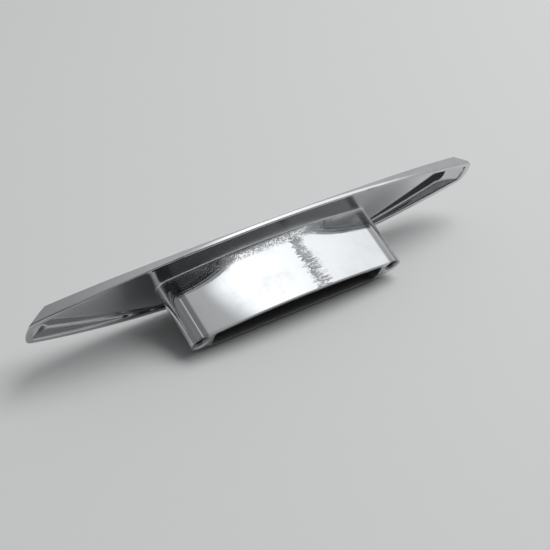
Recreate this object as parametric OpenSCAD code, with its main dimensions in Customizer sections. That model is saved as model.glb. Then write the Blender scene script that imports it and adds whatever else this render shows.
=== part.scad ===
/* [Mounting] */
// Distance between the two screw holes
hole_spacing = 64; // [56:1:96]
// Bore of each tapped screw hole
hole_d = 4; // [3:0.1:4.4]
// Depth of each screw hole from the mounting face
hole_depth = 15; // [8:0.5:17]
// Diameter of the chamfer at each hole mouth
hole_mouth_d = 5.4; // [4.6:0.1:5.6]
// Depth of the chamfer at each hole mouth
hole_mouth_h = 0.4; // [0.2:0.1:0.5]

/* [Pedestal] */
// Height of the pedestal, mounting face to plate floor
pedestal_h = 19.2; // [14:0.1:30]
// Radius of the round screw boss at each end
boss_r = 3.1; // [3:0.1:4.4]
// Distance of each boss centre inside its screw hole
boss_inset = 0.3; // [0:0.1:0.4]
// Distance of each boss centre below the screw hole line
boss_drop = 0.3; // [0:0.1:0.4]
// Highest point of the curved wall above the screw hole line
wall_rise = 5.2; // [4.4:0.1:7]
// Radius of the curved wall, seen from the mounting side
wall_arc_r = 170; // [130:1:300]
// Draft of the curved wall, degrees
wall_draft = 1; // [0.5:0.1:2]
// Thickness of the curved wall at the mounting face
wall_t = 1.5; // [1:0.1:2.2]
// Bottom of the pocket below the screw hole line
pocket_below = 4.1; // [3.6:0.1:6]
// Thickness of the straight lower wall
lower_wall_t = 1.2; // [0.9:0.1:1.6]
// Metal between each hole line and the pocket's end
pocket_end_gap = 4.2; // [3.6:0.1:6]
// Corner radius at the bottom of the pocket's outline
pocket_corner_r = 1.8; // [0.6:0.1:2]
// Metal left between the pocket and the crest of the front
pocket_floor_t = 2.4; // [1.6:0.1:3]

/* [Plate] */
// Overall length, tip to tip
plate_len = 146.6; // [136:0.2:180]
// Top edge of the plate above the screw hole line
plate_above = 15.9; // [13:0.1:18]
// Bottom edge of the plate below the screw hole line
plate_below = 15.1; // [13:0.1:18]
// Radius of the top edge
top_arc_r = 303; // [280:1:400]
// Radius of the bottom edge
bottom_arc_r = 212; // [196:1:280]
// Radius of the blunt end at each tip
end_arc_r = 12; // [11:0.5:16]
// Corner radius between the end and the long edges
tip_corner_r = 2.6; // [2.2:0.1:3]
// Depth of the plate, rim edge to the crest of the front
plate_depth = 4.1; // [3.8:0.1:6]
// Radius of the crowned front, seen from the end
crown_r = 37.5; // [36:0.5:80]
// Thickness of the raised rim
rim_t = 1.8; // [1.2:0.1:2]
// Height of the rim above the plate floor
rim_h = 0.7; // [0.4:0.1:1.2]
// Slope of the rim's inner side along the long edges, degrees from the plate
rim_slope = 80; // [60:1:86]
// Distance from each screw hole to where the floor starts to fall
floor_flat = 1; // [0:0.1:8]
// Fall of the floor towards each tip, degrees
floor_fall = 3.8; // [1:0.1:4]
// Depth of the side left upright at each tip
tip_side_h = 0.3; // [0.2:0.1:0.8]
// Radius of the conical nose at each tip
nose_arc_r = 14; // [13:0.5:18]
// Slope of the conical nose at each tip, inside and out, degrees from the plate
nose_slope = 35; // [34:1:50]

/* [Hidden] */
$fn = 96;
over = 1;
corner_bite = 0.05;
rim_w = pedestal_h - rim_h;
front_w = rim_w + plate_depth;
hole_x = hole_spacing / 2;
boss_x = hole_x - boss_inset;
pocket_half = hole_x - pocket_end_gap;
end_x = plate_len / 2 - end_arc_r;
nose_x = plate_len / 2 - nose_arc_r;
top_c = [0, plate_above - top_arc_r];
bottom_c = [0, bottom_arc_r - plate_below];
tip_z = (top_c[1] + sqrt(pow(top_arc_r, 2) - pow(plate_len / 2, 2))
    + bottom_c[1] - sqrt(pow(bottom_arc_r, 2) - pow(plate_len / 2, 2))) / 2;
end_c = [end_x, tip_z];
top_corner = corner_centre(top_c, top_arc_r, 1);
bottom_corner = corner_centre(bottom_c, bottom_arc_r, -1);
top_angle = heading(top_c, top_corner);
bottom_angle = heading(bottom_c, bottom_corner);
end_top_angle = heading(end_c, top_corner);
end_bottom_angle = heading(end_c, bottom_corner);

// Direction from one point to another, in degrees
function heading(from, to) = atan2(to[1] - from[1], to[0] - from[0]);

// Centre of the corner round between a long edge and the end arc
function corner_centre(edge_c, edge_r, side) =
    let (edge_gap = edge_r - tip_corner_r + corner_bite)
    let (end_gap = end_arc_r - tip_corner_r + corner_bite)
    let (span = norm(end_c - edge_c))
    let (along = (end_c - edge_c) / span)
    let (reach = (edge_gap * edge_gap - end_gap * end_gap + span * span) / (2 * span))
    let (rise = sqrt(edge_gap * edge_gap - reach * reach))
    edge_c + along * reach + [along[1], -along[0]] * rise * side;

// Point at a distance from another, along a heading
function polar(from, angle, reach) = from + reach * [cos(angle), sin(angle)];

// Waste outside a corner round, between the headings of its two joins
module corner_waste(centre, from_angle, to_angle) {
    reach = 3 * tip_corner_r;
    difference() {
        polygon([
            centre,
            polar(centre, from_angle, reach),
            polar(centre, (from_angle + to_angle) / 2, 2 * reach),
            polar(centre, to_angle, reach)
        ]);
        translate(centre) circle(r = tip_corner_r);
    }
}

// Waste at the two corners of one tip
module tip_waste() {
    corner_waste(top_corner, end_top_angle, top_angle);
    corner_waste(bottom_corner, bottom_angle, end_bottom_angle);
}

// Plate outline
module plate_outline() {
    difference() {
        intersection() {
            translate(top_c) circle(r = top_arc_r, $fn = 360);
            translate(bottom_c) circle(r = bottom_arc_r, $fn = 360);
            union() {
                square([2 * end_x, plate_len], center = true);
                for (side = [-1, 1]) translate([side * end_x, tip_z]) circle(r = end_arc_r);
            }
        }
        tip_waste();
        mirror([1, 0]) tip_waste();
    }
}

// Everything behind the crowned front and the two conical noses
module front_limit() {
    nose_w = rim_w + tip_side_h - over;
    nose_h = front_w + over - nose_w;
    nose_r = nose_arc_r + over / tan(nose_slope);
    intersection() {
        translate([0, (plate_above - plate_below) / 2, front_w - crown_r])
            rotate([0, 90, 0]) cylinder(r = crown_r, h = plate_len + 4 * over, center = true, $fn = 180);
        union() {
            translate([-nose_x, -plate_len / 2, 0]) cube([2 * nose_x, plate_len, nose_w + nose_h]);
            for (side = [-1, 1]) translate([side * nose_x, tip_z, 0]) {
                cylinder(r = nose_r, h = nose_w);
                translate([0, 0, nose_w])
                    cylinder(r1 = nose_r, r2 = nose_r - nose_h / tan(nose_slope), h = nose_h);
            }
        }
    }
}

// Cone that draws in with depth from an edge of the given radius, inside the rim
module rim_cone(edge_r, slope, fineness) {
    height = plate_depth + over;
    start_r = edge_r - rim_t + over / tan(slope);
    translate([0, 0, rim_w - over])
        cylinder(r1 = start_r, r2 = start_r - height / tan(slope), h = height, $fn = fineness);
}

// Everything between the rim and the floor, which falls towards the tips
module floor_limit() {
    fall_x = hole_x + floor_flat;
    translate([-plate_len, -plate_len / 2, rim_w - over]) cube([2 * plate_len, plate_len, rim_h + over]);
    for (side = [0, 1]) mirror([side, 0, 0])
        translate([fall_x, 0, pedestal_h])
            rotate([0, -floor_fall, 0])
                translate([-4 * over, -plate_len / 2, -5 * over]) cube([plate_len / 2, plate_len, 5 * over]);
}

// Shallow hollow in the back of the plate, inside the rim
module hollow() {
    intersection() {
        translate(top_c) rim_cone(top_arc_r, rim_slope, 360);
        translate(bottom_c) rim_cone(bottom_arc_r, rim_slope, 360);
        union() {
            translate([-nose_x, -plate_len / 2, 0]) cube([2 * nose_x, plate_len, front_w]);
            for (side = [-1, 1]) translate([side * nose_x, tip_z, 0]) rim_cone(nose_arc_r, nose_slope, 96);
        }
        floor_limit();
    }
}

// Front plate with its hollow
module plate() {
    difference() {
        intersection() {
            translate([0, 0, rim_w]) linear_extrude(height = plate_depth + over) plate_outline();
            front_limit();
        }
        hollow();
    }
}

// Rectangle with its two bottom corners rounded
module tray_outline(half, low, corner_r) {
    translate([-half, low + corner_r]) square([2 * half, 4 * wall_rise]);
    translate([-half + corner_r, low]) square([2 * (half - corner_r), 2 * corner_r]);
    for (side = [-1, 1]) translate([side * (half - corner_r), low + corner_r]) circle(r = corner_r);
}

// Everything inside the curved wall's drafted face, drawn in by a margin
module wall_limit(margin, height, draft) {
    translate([0, wall_rise - wall_arc_r, 0])
        cylinder(r1 = wall_arc_r - margin, r2 = wall_arc_r - margin + height * tan(draft), h = height, $fn = 360);
}

// Solid pedestal with a round boss at each end
module pedestal_block() {
    height = pedestal_h + over;
    intersection() {
        linear_extrude(height = height) {
            tray_outline(pocket_half + lower_wall_t, -pocket_below - lower_wall_t, pocket_corner_r + lower_wall_t);
            translate([-boss_x, -boss_drop - boss_r]) square([2 * boss_x, 4 * wall_rise]);
        }
        wall_limit(0, height, wall_draft);
    }
    for (side = [-1, 1]) translate([side * boss_x, -boss_drop, 0]) cylinder(r = boss_r, h = height);
}

// Pocket cored out of the pedestal from the mounting side
module pocket() {
    height = front_w - pocket_floor_t + over;
    translate([0, 0, -over])
        intersection() {
            linear_extrude(height = height) tray_outline(pocket_half, -pocket_below, pocket_corner_r);
            wall_limit(wall_t, height, 0);
        }
}

// Tapped hole with a chamfered mouth
module screw_hole() {
    flare = (hole_mouth_d - hole_d) / hole_mouth_h;
    translate([0, 0, -over]) cylinder(d = hole_d, h = hole_depth + over);
    translate([0, 0, -over])
        cylinder(d1 = hole_mouth_d + over * flare, d2 = hole_d, h = hole_mouth_h + over);
}

// One-piece die casting: plate, pedestal, pocket and screw holes
module pull_casting() {
    color([0.72, 0.73, 0.74])
        rotate([90, 0, 0])
            difference() {
                union() {
                    plate();
                    pedestal_block();
                }
                pocket();
                for (side = [-1, 1]) translate([side * hole_x, 0, 0]) screw_hole();
            }
}

pull_casting();
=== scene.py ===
import math
import bpy
import bmesh
from mathutils import Matrix, Vector


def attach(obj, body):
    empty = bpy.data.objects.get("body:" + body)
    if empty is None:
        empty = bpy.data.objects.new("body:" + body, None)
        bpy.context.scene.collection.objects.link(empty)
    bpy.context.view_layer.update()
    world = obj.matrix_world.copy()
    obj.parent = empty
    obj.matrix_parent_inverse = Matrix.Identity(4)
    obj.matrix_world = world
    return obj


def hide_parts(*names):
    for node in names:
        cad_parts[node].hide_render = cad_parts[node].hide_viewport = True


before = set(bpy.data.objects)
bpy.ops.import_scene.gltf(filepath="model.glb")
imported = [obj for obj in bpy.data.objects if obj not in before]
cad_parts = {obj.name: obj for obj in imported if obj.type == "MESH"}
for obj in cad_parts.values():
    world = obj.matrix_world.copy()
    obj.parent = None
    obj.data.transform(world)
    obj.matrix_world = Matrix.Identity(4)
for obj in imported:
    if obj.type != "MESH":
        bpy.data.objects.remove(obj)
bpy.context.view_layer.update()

# The casting: one chrome-plated zinc die casting, so it is one closed mesh.
# It is lofted from loops that follow the plate, pedestal, pocket and hole outlines, with every edge rounded.
# Plan sizes are x and z in millimetres, and depth runs from the mounting face towards the front.
hole_x, hole_r, hole_depth, mouth_r, mouth_h = 32.0, 2.0, 15.0, 2.7, 0.4
floor_d, rim_h, rim_t = 19.2, 0.7, 1.8
fall_x, fall, side_slope = 33.0, math.tan(math.radians(3.8)), 86
boss_r, boss_x, boss_z = 3.1, 31.7, -0.38
wall_rise, wall_r, wall_t = 5.0, 220.0, 1.5
pocket_half, pocket_low, pocket_corner, lower_t = 27.8, -4.1, 1.8, 1.2
half_len, above, below = 73.3, 15.9, 15.1
top_r, bottom_r, end_r, corner_r = 303.0, 212.0, 12.0, 2.6
plate_depth, crown_r = 4.1, 37.5
nose_r, tip_side, nose = 14.0, 0.3, math.tan(math.radians(35))
rim_d = floor_d - rim_h
front_d = rim_d + plate_depth
pocket_d = front_d - 2.4
quarter = math.pi / 2


def heading(a, b):
    return math.atan2(b[1] - a[1], b[0] - a[0])


def meet(a, ra, b, rb, side):
    """Where two circles cross, on the right of the line from a to b if side is 1."""
    span = math.dist(a, b)
    ux, uz = (b[0] - a[0]) / span, (b[1] - a[1]) / span
    reach = (ra * ra - rb * rb + span * span) / (2 * span)
    rise = side * math.sqrt(ra * ra - reach * reach)
    return (a[0] + ux * reach + uz * rise, a[1] + uz * reach - ux * rise)


def arc(centre, r, start, end, count):
    angles = [start + (end - start) * i / (count - 1) for i in range(count)]
    return [(centre[0] + r * math.cos(a), centre[1] + r * math.sin(a)) for a in angles]


def turn(start, end, step):
    """Cosine and sine from one angle to another, in degrees."""
    return [(math.cos(math.radians(a)), math.sin(math.radians(a))) for a in range(start, end + 1, step)]


top_c, bottom_c = (0, above - top_r), (0, bottom_r - below)
tip_z = (top_c[1] + math.sqrt(top_r**2 - half_len**2) + bottom_c[1] - math.sqrt(bottom_r**2 - half_len**2)) / 2
end_c, nose_c = (half_len - end_r, tip_z), (half_len - nose_r, tip_z)
top_join = heading(top_c, meet(top_c, top_r - corner_r, end_c, end_r - corner_r, 1))
bottom_join = heading(bottom_c, meet(bottom_c, bottom_r - corner_r, end_c, end_r - corner_r, -1))
mid_z = (above - below) / 2


def crown(z):
    """Depth of the crowned front."""
    return front_d - crown_r + math.sqrt(crown_r**2 - (z - mid_z) ** 2)


def nose_d(x, z):
    """Depth of the conical nose at a tip."""
    return rim_d + tip_side + (nose_r - math.dist((abs(x), z), nose_c)) * nose


def floor_at(x):
    """Depth of the floor, which falls towards the tips past a short bend."""
    t = abs(x) - fall_x
    return floor_d + fall * (max(t, 0) + max(0.5 - abs(t), 0) ** 2 / 2)


def drop(u, slope, r):
    """Depth at a distance u inside an edge that is rounded by r and then falls at a slope in degrees."""
    a = math.radians(slope)
    t = r * math.tan(a / 2)
    if u < -t:
        return 0
    return r - math.sqrt(r * r - (u + t) ** 2) if u < t * math.cos(a) else u * math.tan(a)


def hollow(x, z):
    """Depth below the rim edge: steep inner sides, a conical end face at each tip, and the floor."""
    p = (abs(x), z)
    full = depth = floor_at(x) - rim_d
    top = drop(top_r - math.dist(p, top_c) - rim_t, side_slope, 0.2)
    u = end_r - math.dist(p, end_c) - rim_t if p[0] > end_c[0] else 9
    end = min(drop(u, 72, 0.15), max(0.5 + 0.6 * u, 0))
    for other in (top, end):
        k = min(0.3, depth, other) + 1e-6
        depth = min(depth, other) - max(k - abs(depth - other), 0) ** 2 / (4 * k)
    r = 0.5 * min(full, 1.2)
    u = bottom_r - math.dist(p, bottom_c) - rim_t
    foot = min(max(u - (full - r) / math.tan(math.radians(side_slope)), 0), r)
    return min(depth, drop(u, side_slope, r), full - r + math.sqrt(r * r - (r - foot) ** 2))


def nose_start(centre, r, low, high):
    """Angle on a long edge where the nose meets the crown."""
    for _ in range(50):
        mid = (low + high) / 2
        x, z = centre[0] + r * math.cos(mid), centre[1] + r * math.sin(mid)
        low, high = (mid, high) if nose_d(x, z) > crown(z) else (low, mid)
    return low


# Plate outline: points run over the top edge, round the right tip,
# along the bottom edge and round the left tip.
edge_round, long_n, land = 0.2, 180, 1.2
top_nose = nose_start(top_c, top_r - edge_round, math.acos(nose_c[0] / top_r), top_join)
bottom_nose = nose_start(bottom_c, bottom_r - edge_round, -math.acos(nose_c[0] / bottom_r), bottom_join)


def ring(m):
    """The outline drawn in by m, always with the same count of points."""
    r = max(corner_r - m, 0.3)
    top_k = meet(top_c, top_r - m - r, end_c, end_r - m - r, 1)
    bottom_k = meet(bottom_c, bottom_r - m - r, end_c, end_r - m - r, -1)
    top_a, bottom_a = heading(top_c, top_k), heading(bottom_c, bottom_k)
    top_n = quarter + (top_nose - quarter) * (top_a - quarter) / (top_join - quarter)
    bottom_n = -quarter + (bottom_nose + quarter) * (bottom_a + quarter) / (bottom_join + quarter)
    tip = (
        arc(top_c, top_r - m, top_n, top_a, 8)[:-1]
        + arc(top_k, r, top_a, heading(end_c, top_k), 12)[:-1]
        + arc(end_c, end_r - m, heading(end_c, top_k), heading(end_c, bottom_k), 14)
        + arc(bottom_k, r, heading(end_c, bottom_k), bottom_a, 12)[1:]
        + arc(bottom_c, bottom_r - m, bottom_a, bottom_n, 8)[1:]
    )
    top = arc(top_c, top_r - m, math.pi - top_n, top_n, long_n)
    bottom = arc(bottom_c, bottom_r - m, bottom_n, -math.pi - bottom_n, long_n)
    return top[:-1] + tip[:-1] + bottom[:-1] + [(-x, z) for x, z in tip[::-1]][:-1]


bm = bmesh.new()
bare, drawn = bm.verts.layers.float.new("bare_zinc"), bm.verts.layers.float.new("drawn_wall")


def vert(x, z, depth):
    return bm.verts.new((x * 0.001, -depth * 0.001, z * 0.001))


def loop(points, depth):
    return [vert(x, z, depth) for x, z in points]


def skin(loops):
    """Quads between each loop and the next."""
    for a, b in zip(loops, loops[1:]):
        for i in range(len(a)):
            j = (i + 1) % len(a)
            bm.faces.new((a[i], a[j], b[j], b[i]))


def flat(*loops):
    """A flat face inside the first loop, with the other loops as holes in it."""
    pairs = [(r[i], r[i - 1]) for r in loops for i in range(len(r))]
    edges = [bm.edges.get(pair) or bm.edges.new(pair) for pair in pairs]
    bmesh.ops.triangle_fill(bm, edges=edges, use_beauty=True, use_dissolve=False)


# Front: a crowned grid between the long edges, and a conical nose at each tip.
front = ring(edge_round)
rows = len(front) // 2 - long_n + 2
tip_in = front[long_n - 1 : long_n - 1 + rows]
top_in = front[:long_n]
bottom_in = front[long_n + rows - 2 : 2 * long_n + rows - 2][::-1]
z_top, z_bottom = tip_in[0][1], tip_in[-1][1]
crease = []
for i in range(rows):
    z = z_top + (z_bottom - z_top) * i / (rows - 1)
    x = nose_c[0] + math.sqrt((nose_r - (crown(z) - rim_d - tip_side) / nose) ** 2 - (z - tip_z) ** 2)
    crease.append((x, z))
crease[0], crease[-1] = tip_in[0], tip_in[-1]
grid = []
for cx, cz in crease:
    f = (cz - z_bottom) / (z_top - z_bottom)
    line = []
    for i in range(long_n):
        z = f * top_in[i][1] + (1 - f) * bottom_in[i][1]
        line.append(vert(top_in[i][0] / top_in[-1][0] * cx, z, crown(z)))
    grid.append(line)
for a, b in zip(grid, grid[1:]):
    for i in range(long_n - 1):
        bm.faces.new((a[i], a[i + 1], b[i + 1], b[i]))
tips = []
for side in (1, -1):
    last = [line[-1] if side == 1 else line[0] for line in grid]
    for k in range(1, 9):
        now = [last[0]]
        for j in range(1, rows - 1):
            x = crease[j][0] + (tip_in[j][0] - crease[j][0]) * k / 8
            z = crease[j][1] + (tip_in[j][1] - crease[j][1]) * k / 8
            now.append(vert(side * x, z, nose_d(x, z)))
        now.append(last[-1])
        for j in range(rows - 1):
            corners = (last[j], last[j + 1], now[j + 1], now[j])
            bm.faces.new(list(dict.fromkeys(corners)))
        last = now
    tips.append(last)

# Side, rim and hollow: loops go round the front edge, over the rim and down its inner side to the floor.
# The long top edge carries a thin lip, a little drawn in, which runs out before the tips.
front_loop = grid[0][:-1] + tips[0][:-1] + grid[-1][::-1][:-1] + tips[1][::-1][:-1]
front_depth = [-v.co.y * 1000 for v in front_loop]
outer, inner = ring(0), ring(land)


def step(value, low, high):
    t = min(max((value - low) / (high - low), 0), 1)
    return t * t * (3 - 2 * t)


def drawn_in(i, m, depth):
    (x, z), (ix, iz) = outer[i], inner[i]
    return vert(x + (ix - x) * m / land, z + (iz - z) * m / land, depth)


lip = [step(z, 3, 8) * step(-abs(x), -70, -58) for x, z in outer]
side_h = [d - edge_round - rim_d for d in front_depth]
rim_loops = [front_loop]
for c, s in turn(30, 90, 30):
    now = []
    for i, d in enumerate(front_depth):
        draft = min(0.18, 0.12 * max(side_h[i] - 0.55, 0))
        now.append(drawn_in(i, draft + (edge_round - draft) * (1 - s), d - edge_round * (1 - c)))
    rim_loops.append(now)
round_over = [(0.4 * (1 - c), 0.4 * (1 - s)) for c, s in turn(0, 90, 10)] + [(0.8, 0), (land, 0)]
lip_over = [(0, 0.55), (0.02, 0.35), (0.05, 0.1), (0.08, -0.12), (0.12, -0.28), (0.18, -0.38)]
lip_over += [(0.27, -0.45), (0.38, -0.48), (0.5, -0.46), (0.65, -0.3), (0.9, -0.08), (land, 0)]
for (m, d), (lip_m, lip_d) in zip(round_over, lip_over):
    now = []
    for i, f in enumerate(lip):
        small, thin = min(1, 1.5 * side_h[i]), 1 - 0.5 * step(abs(outer[i][0]), 15, 45)
        thin = 1 if lip_m == land else thin
        now.append(drawn_in(i, m + (lip_m * thin - m) * f, rim_d + d * small * (1 - f) + lip_d * thin * f))
    if m == 0:
        rim_loops.append([bm.verts.new(a.co.lerp(b.co, 0.8)) for a, b in zip(rim_loops[-1], now)])
    rim_loops.append(now)
insets = [-0.56, -0.5, -0.44, -0.38, -0.32, -0.26] + [0.2 * s - 0.186 for c, s in turn(0, 86, 10)]
insets += [0.015 + 0.015 * i for i in range(22)] + [0.36 + 0.04 * i for i in range(11)]
for u in insets + [0.8 + 0.2 * i for i in range(15)]:
    rim_loops.append([vert(x, z, rim_d + hollow(x, z)) for x, z in ring(rim_t + u)])
for v in rim_loops[-1]:
    v.co.y = -floor_d * 0.001
skin(rim_loops)

# Pedestal: curved wall, round bosses, straight lower wall, with a fillet at the floor and rounded free edges.
tray_half, tray_low, tray_r = pocket_half + lower_t, pocket_low - lower_t, pocket_corner + lower_t
crease_r = 0.5


def pedestal(grow, depth):
    r = wall_r + grow
    wall_c, boss_c = (0, wall_rise - wall_r), (boss_x, boss_z)
    corner_c = (tray_half - tray_r, tray_low + tray_r)
    fillet_c = meet(wall_c, r + crease_r, boss_c, boss_r + grow + crease_r, -1)
    first = heading(wall_c, fillet_c)
    low = boss_z - boss_r - grow
    notch = math.asin((low - corner_c[1]) / (tray_r + grow))
    notch_x = corner_c[0] + (tray_r + grow) * math.cos(notch)
    half = arc(fillet_c, crease_r, first - math.pi, heading(fillet_c, boss_c), 8)[1:-1]
    half += arc(boss_c, boss_r + grow, heading(boss_c, fillet_c), -quarter, 40)
    half += [(boss_x + (notch_x - boss_x) * i / 3, low) for i in (1, 2)]
    half += arc(corner_c, tray_r + grow, notch, -quarter, 14)
    flare = max(0, depth - 10) ** 2 / 58 - 0.05 * depth
    wall = [(x, z + flare * step(-abs(x), -31.5, -8)) for x, z in arc(wall_c, r, math.pi - first, first, 120)]
    bottom = [(half[-1][0] * (1 - i / 20), tray_low - grow) for i in range(1, 40)]
    return wall + half + bottom + [(-x, z) for x, z in half[::-1]]


base_fillet, free_round = 0.4, 0.2
body_loops = []
for c, s in turn(0, 90, 15):
    d = floor_d - base_fillet * (1 - c)
    body_loops.append(loop(pedestal(base_fillet * (1 - s), d), d))
for i in range(1, 12):
    d = floor_d - base_fillet + (free_round - floor_d + base_fillet) * i / 12
    body_loops.append(loop(pedestal(0, d), d))
for c, s in turn(0, 90, 30):
    d = free_round * (1 - s)
    body_loops.append(loop(pedestal(-free_round * (1 - c), d), d))
skin(body_loops)
for v in [v for points in body_loops[:-3] for v in points[2:118]]:
    v[drawn] = 1
flat(rim_loops[-1], body_loops[0])


def floor():
    """Faces that lie in the plane of the floor."""
    return [f for f in bm.faces if all(abs(v.co.y + floor_d * 0.001) < 1e-8 for v in f.verts)]


for x in (32.5, 33, 33.5, 36, 40, 44, 48, 52, 56, 60, 63, 64, 65, 66, 66.4, 66.8, 67.2, 67.6):
    for side in (1, -1):
        geom = floor()
        geom += list({e for f in geom for e in f.edges}) + list({v for f in geom for v in f.verts})
        bmesh.ops.bisect_plane(bm, geom=geom, plane_co=(side * x * 0.001, 0, 0), plane_no=(1, 0, 0))
for v in {v for f in floor() for v in f.verts}:
    v.co.y = -(rim_d + hollow(v.co.x * 1000, v.co.z * 1000)) * 0.001


def pocket(grow):
    r = wall_r - wall_t + grow
    half, low, cr = pocket_half + grow, pocket_low - grow, pocket_corner + grow
    side = math.acos(half / r)
    points = arc((0, wall_rise - wall_r), r, math.pi - side, side, 100)
    right = arc((half - cr, low + cr), cr, 0, -quarter, 10)
    left = arc((cr - half, low + cr), cr, -quarter, -math.pi, 10)
    rise = points[-1][1] - right[0][1]
    side_r = [(half, points[-1][1] - rise * i / 6) for i in range(1, 6)]
    side_l = [(-half, right[0][1] + rise * i / 6) for i in range(1, 6)]
    run = [(half - cr - 2 * (half - cr) * i / 40, low) for i in range(1, 40)]
    return points + side_r + right + run + left + side_l


mouth_round, pocket_foot = 0.15, 0.7
pocket_loops = []
for c, s in turn(0, 90, 30):
    pocket_loops.append(loop(pocket(mouth_round * (1 - s)), mouth_round * (1 - c)))
for i in range(1, 8):
    pocket_loops.append(loop(pocket(0), mouth_round + (pocket_d - pocket_foot - mouth_round) * i / 8))
for c, s in turn(0, 90, 18):
    pocket_loops.append(loop(pocket(-pocket_foot * (1 - c)), pocket_d - pocket_foot * (1 - s)))
skin(pocket_loops)
flat(pocket_loops[-1])
for v in [v for points in pocket_loops[3:] for v in points]:
    v[bare] = 1

# Screw holes: a chamfered mouth and a ringed thread.
hole_mouths = []
for side in (1, -1):
    profile = [(mouth_r + 0.05, 0), (mouth_r, 0.04), (hole_r, mouth_h)]
    d = mouth_h + 0.2
    while d < hole_depth - 1.2:
        profile += [(hole_r - 0.3, d + 0.25), (hole_r - 0.3, d + 0.35), (hole_r, d + 0.6), (hole_r, d + 0.7)]
        d += 0.7
    profile += [(hole_r - 0.3, hole_depth)]
    angles = [t * math.pi / 32 for t in range(64)]
    rings = [loop([(side * hole_x + r * math.cos(a), r * math.sin(a)) for a in angles], d) for r, d in profile]
    skin(rings)
    flat(rings[-1])
    hole_mouths.append(rings[0])
    for v in [v for points in rings[2:] for v in points]:
        v[bare] = 1
flat(body_loops[-1], pocket_loops[0], *hole_mouths)

bmesh.ops.remove_doubles(bm, verts=bm.verts, dist=1e-7)
bmesh.ops.recalc_face_normals(bm, faces=bm.faces)
for face in bm.faces:
    face.smooth = True
mesh = bpy.data.meshes.new("pull_skin")
bm.to_mesh(mesh)
bm.free()
mesh.set_sharp_from_angle(angle=math.radians(24))
casting = bpy.data.objects.new("pull_skin", mesh)
bpy.context.scene.collection.objects.link(casting)

chrome = bpy.data.materials.new("chrome_plate")
chrome.use_nodes = True
nodes, links = chrome.node_tree.nodes, chrome.node_tree.links
shader = nodes["Principled BSDF"]
shader.inputs["Metallic"].default_value = 1
place = nodes.new("ShaderNodeTexCoord")


def noise(stretch, scale, detail, rough):
    """Noise in millimetres, stretched along the part's axes."""
    mapping = nodes.new("ShaderNodeMapping")
    mapping.inputs["Scale"].default_value = [1000 * f for f in stretch]
    links.new(place.outputs["Object"], mapping.inputs["Vector"])
    node = nodes.new("ShaderNodeTexNoise")
    node.inputs["Scale"].default_value = scale
    node.inputs["Detail"].default_value = detail
    node.inputs["Roughness"].default_value = rough
    links.new(mapping.outputs["Vector"], node.inputs["Vector"])
    return node.outputs["Fac"]


def span(value, low, high, start=0.0, end=1.0):
    """A soft step from one value to another."""
    node = nodes.new("ShaderNodeMapRange")
    node.interpolation_type = "SMOOTHSTEP"
    links.new(value, node.inputs["Value"])
    for name, number in (("From Min", low), ("From Max", high), ("To Min", start), ("To Max", end)):
        node.inputs[name].default_value = number
    return node.outputs["Result"]


def blend(factor, low, high, kind="RGBA"):
    """A mix of two colours or two values."""
    node = nodes.new("ShaderNodeMix")
    node.data_type = kind
    links.new(factor, node.inputs["Factor"])
    ends = (node.inputs[6], node.inputs[7]) if kind == "RGBA" else (node.inputs[2], node.inputs[3])
    for socket, value in zip(ends, (low, high)):
        if isinstance(value, bpy.types.NodeSocket):
            links.new(value, socket)
        else:
            socket.default_value = value
    return node.outputs[2] if kind == "RGBA" else node.outputs[0]


def bump(height, distance, below=None):
    """A bump of a height in millimetres, over an earlier one."""
    node = nodes.new("ShaderNodeBump")
    node.inputs["Strength"].default_value = 1
    node.inputs["Distance"].default_value = distance * 0.001
    links.new(height, node.inputs["Height"])
    if below:
        links.new(below, node.inputs["Normal"])
    return node.outputs["Normal"]


def mask(name):
    node = nodes.new("ShaderNodeAttribute")
    node.attribute_name = name
    return node.outputs["Fac"]


def maths(operation, first, *others):
    """A sum or product of sockets and numbers."""
    for other in others:
        node = nodes.new("ShaderNodeMath")
        node.operation = operation
        for socket, value in zip(node.inputs, (first, other)):
            if isinstance(value, bpy.types.NodeSocket):
                links.new(value, socket)
            else:
                socket.default_value = value
        first = node.outputs["Value"]
    return first


axes = nodes.new("ShaderNodeSeparateXYZ")
links.new(place.outputs["Object"], axes.inputs["Vector"])
along_x, out_y = axes.outputs["X"], axes.outputs["Y"]
up_z, wall = axes.outputs["Z"], mask("drawn_wall")
# Bare zinc in the pocket and holes, and the same dark dull colour painted on the free edge of the lower wall
# as the contact shade where it lies on the table
painted_contact_shade = maths("MULTIPLY", span(up_z, -0.0034, -0.0039), span(out_y, -0.0016, -0.0005))
zinc_and_contact_shade = maths("MAXIMUM", mask("bare_zinc"), painted_contact_shade)
# Painted reflection: a ragged dark streak down the wall, standing for the dark gap between two lights mirrored
# in the chrome
wander = span(noise((0.25, 2.2, 1), 1.0, 4, 0.7), 0.3, 0.7, -0.0016, 0.0016)
wander = maths("MULTIPLY", wander, span(out_y, -0.013, -0.004, 0.5, 1.3))
ragged_x = maths("ADD", along_x, wander)
painted_reflection_streak = maths("MULTIPLY", span(ragged_x, -0.0094, -0.0072), span(ragged_x, -0.0052, -0.0058))
painted_reflection_streak = maths("MULTIPLY", painted_reflection_streak, span(out_y, -0.0175, -0.016), wall)
painted_reflection_streak = maths("MULTIPLY", painted_reflection_streak, span(noise((0.8, 1.6, 1), 1.0, 3, 0.6), 0.38, 0.55, 0.25, 1))
# Painted shade in the creases where the bosses meet the wall
reach = maths("MULTIPLY", along_x, along_x)
painted_crease_shade = maths("MULTIPLY", span(reach, 0.00088, 0.00093), span(reach, 0.00118, 0.00098))
painted_crease_shade = maths("MULTIPLY", painted_crease_shade, span(out_y, -0.0188, -0.0178), span(up_z, 0.0012, 0.002))
# Pitting along the foot of the wall
foot = maths("MULTIPLY", span(out_y, -0.0158, -0.0172), span(along_x, 0.026, 0.018))
foot = maths("MULTIPLY", foot, span(along_x, -0.024, -0.014), wall)
pits = maths("MULTIPLY", span(noise((1, 1, 1), 2.6, 2, 0.6), 0.5, 0.62), foot)
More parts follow.
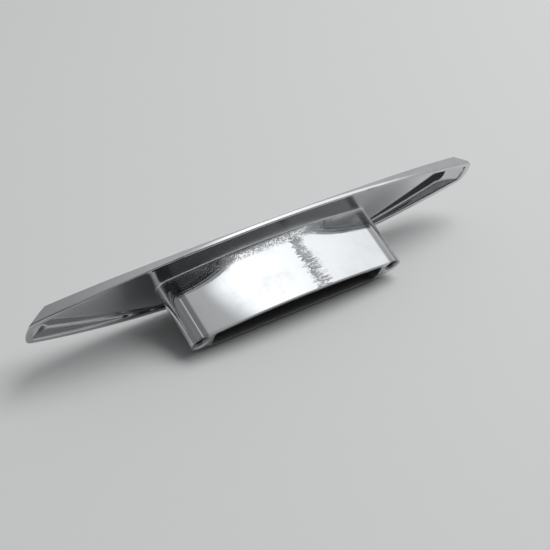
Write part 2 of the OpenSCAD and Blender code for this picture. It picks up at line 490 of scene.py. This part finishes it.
# Smudges and fine handling scratches in the plate
smudge = span(noise((1, 1, 1), 0.16, 4, 0.6), 0.45, 0.7)
hairs = span(noise((0.25, 6, 1), 1.0, 2, 0.5), 0.60, 0.68)
plate_colour = blend(smudge, (0.66, 0.67, 0.68, 1), (0.63, 0.64, 0.652, 1))
marks = maths("MAXIMUM", pits, maths("MULTIPLY", hairs, smudge))
plate_colour = blend(marks, plate_colour, (0.56, 0.57, 0.58, 1))
# Dark grey for the painted reflection streak down the wall and the painted shade in the boss creases
plate_colour = blend(maths("MAXIMUM", painted_reflection_streak, painted_crease_shade), plate_colour, (0.29, 0.29, 0.30, 1))
# The bare zinc colour, which also paints contact shade on the lower wall's free edge
links.new(blend(zinc_and_contact_shade, plate_colour, (0.30, 0.30, 0.31, 1)), shader.inputs["Base Color"])
floor_mark = maths("MULTIPLY", span(out_y, -0.0187, -0.0191), span(reach, 0.0016, 0.0011))
plate_rough = blend(smudge, 0.045, 0.10, "FLOAT")
plate_rough = blend(floor_mark, plate_rough, 0.2, "FLOAT")
plate_rough = blend(maths("MAXIMUM", pits, painted_reflection_streak), plate_rough, 0.16, "FLOAT")
links.new(blend(zinc_and_contact_shade, plate_rough, 0.42, "FLOAT"), shader.inputs["Roughness"])
surface = bump(noise((1, 1, 1), 0.11, 1, 0.4), 0.012)
surface = bump(noise((1, 1, 1), 1.3, 2, 0.5), 0.0008, surface)
surface = bump(painted_reflection_streak, 0.02, surface)
surface = bump(pits, 0.012, surface)
links.new(surface, shader.inputs["Normal"])
mesh.materials.append(chrome)
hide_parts("pull_casting")
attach(casting, "root")

# The table: a pale matt sheet. The casting lies on the pedestal's lower edge and the plate's rim,
# so the sheet is tilted in the part's frame.
tilt = math.radians(27.7)
up, away = Vector((0, -math.sin(tilt), math.cos(tilt))), Vector((0, -math.cos(tilt), -math.sin(tilt)))
table_mesh = bpy.data.meshes.new("table")
table_bm = bmesh.new()
bmesh.ops.create_grid(table_bm, x_segments=2, y_segments=2, size=1.5)
table_bm.to_mesh(table_mesh)
table_bm.free()
table = bpy.data.objects.new("table", table_mesh)
bpy.context.scene.collection.objects.link(table)
table.matrix_world = Matrix.Translation((0, 0, -0.0053)) @ up.to_track_quat("Z", "Y").to_matrix().to_4x4()
table.location -= up * 0.00005
paper = bpy.data.materials.new("table_paper")
paper.use_nodes = True
nodes, links = paper.node_tree.nodes, paper.node_tree.links
shader = nodes["Principled BSDF"]
shader.inputs["Base Color"].default_value = (0.65, 0.657, 0.657, 1)
shader.inputs["Roughness"].default_value = 0.8
shader.inputs["Specular IOR Level"].default_value = 0.2
geometry = nodes.new("ShaderNodeNewGeometry")
clear = nodes.new("ShaderNodeBsdfTransparent")
mix = nodes.new("ShaderNodeMixShader")
links.new(geometry.outputs["Backfacing"], mix.inputs["Fac"])
links.new(shader.outputs["BSDF"], mix.inputs[1])
links.new(clear.outputs["BSDF"], mix.inputs[2])
links.new(mix.outputs["Shader"], nodes["Material Output"].inputs["Surface"])
table_mesh.materials.append(paper)

# Light: a grey room, dark on the camera's side, with a soft panel above and to the right.
# A wide lamp on the panel's side lights the table and throws the soft shadow.
# Only the panel shows in the chrome.
world = bpy.data.worlds.new("room")
bpy.context.scene.world = world
world.use_nodes = True
nodes, links = world.node_tree.nodes, world.node_tree.links
look = nodes.new("ShaderNodeTexCoord")


def along(direction):
    node = nodes.new("ShaderNodeVectorMath")
    node.operation = "DOT_PRODUCT"
    links.new(look.outputs["Generated"], node.inputs[0])
    node.inputs[1].default_value = direction
    return node.outputs["Value"]


to_right, to_back = along((-1, 0, 0)), along(away)
near = maths("MULTIPLY", span(to_back, -0.25, -0.6), span(to_right, 0.2, 0.75, 0.88, 0.57))
room = maths("MULTIPLY", span(to_right, -0.1, 0.3, 0.34, 0.56), maths("SUBTRACT", 1, near))
room = maths("MULTIPLY", room, span(to_right, -0.9, -0.2, 0.6, 1))
back_edge = along(away + Vector((0.26, 0, 0)))
panel = maths(
    "MULTIPLY",
    span(to_right, 0.25, 0.37),
    span(to_right, 0.35, 0.7, 1.1, 0.65),
    span(to_right, 0.81, 0.71),
    span(to_back, -0.54, -0.40),
    span(back_edge, -0.04, -0.09),
)
links.new(maths("ADD", room, panel), nodes["Background"].inputs["Strength"])
nodes["Background"].inputs["Color"].default_value = (0.975, 0.99, 1.0, 1)
lamp = bpy.data.lights.new("lamp", "AREA")
lamp.shape = "DISK"
lamp.size = 0.9
lamp.energy = 7.2
lamp_at = bpy.data.objects.new("lamp", lamp)
bpy.context.scene.collection.objects.link(lamp_at)
aim = (Vector((-0.55, 0, 0)) - 0.1 * away + 0.83 * up).normalized()
lamp_at.location = aim
lamp_at.rotation_euler = aim.to_track_quat("Z", "Y").to_euler()
lamp_at.visible_glossy = False

# Camera: in front of the mounting side and above, matched to the picture's perspective.
camera = bpy.data.cameras.new("camera")
camera.sensor_width = 36
camera.lens = 1268.0 * 36 / 550
camera_at = bpy.data.objects.new("camera", camera)
bpy.context.scene.collection.objects.link(camera_at)
right, over = Vector((-0.8238, 0.5095, 0.2484)), Vector((-0.3205, -0.7801, 0.5373))
back = Vector((0.4675, 0.363, 0.806))
spin = Matrix((right, over, back)).transposed().to_4x4()
camera_at.matrix_world = Matrix.Translation((0.16523, 0.11624, 0.2815)) @ spin
camera.clip_start, camera.clip_end = 0.01, 10
scene = bpy.context.scene
scene.camera = camera_at
scene.view_settings.view_transform = "Standard"
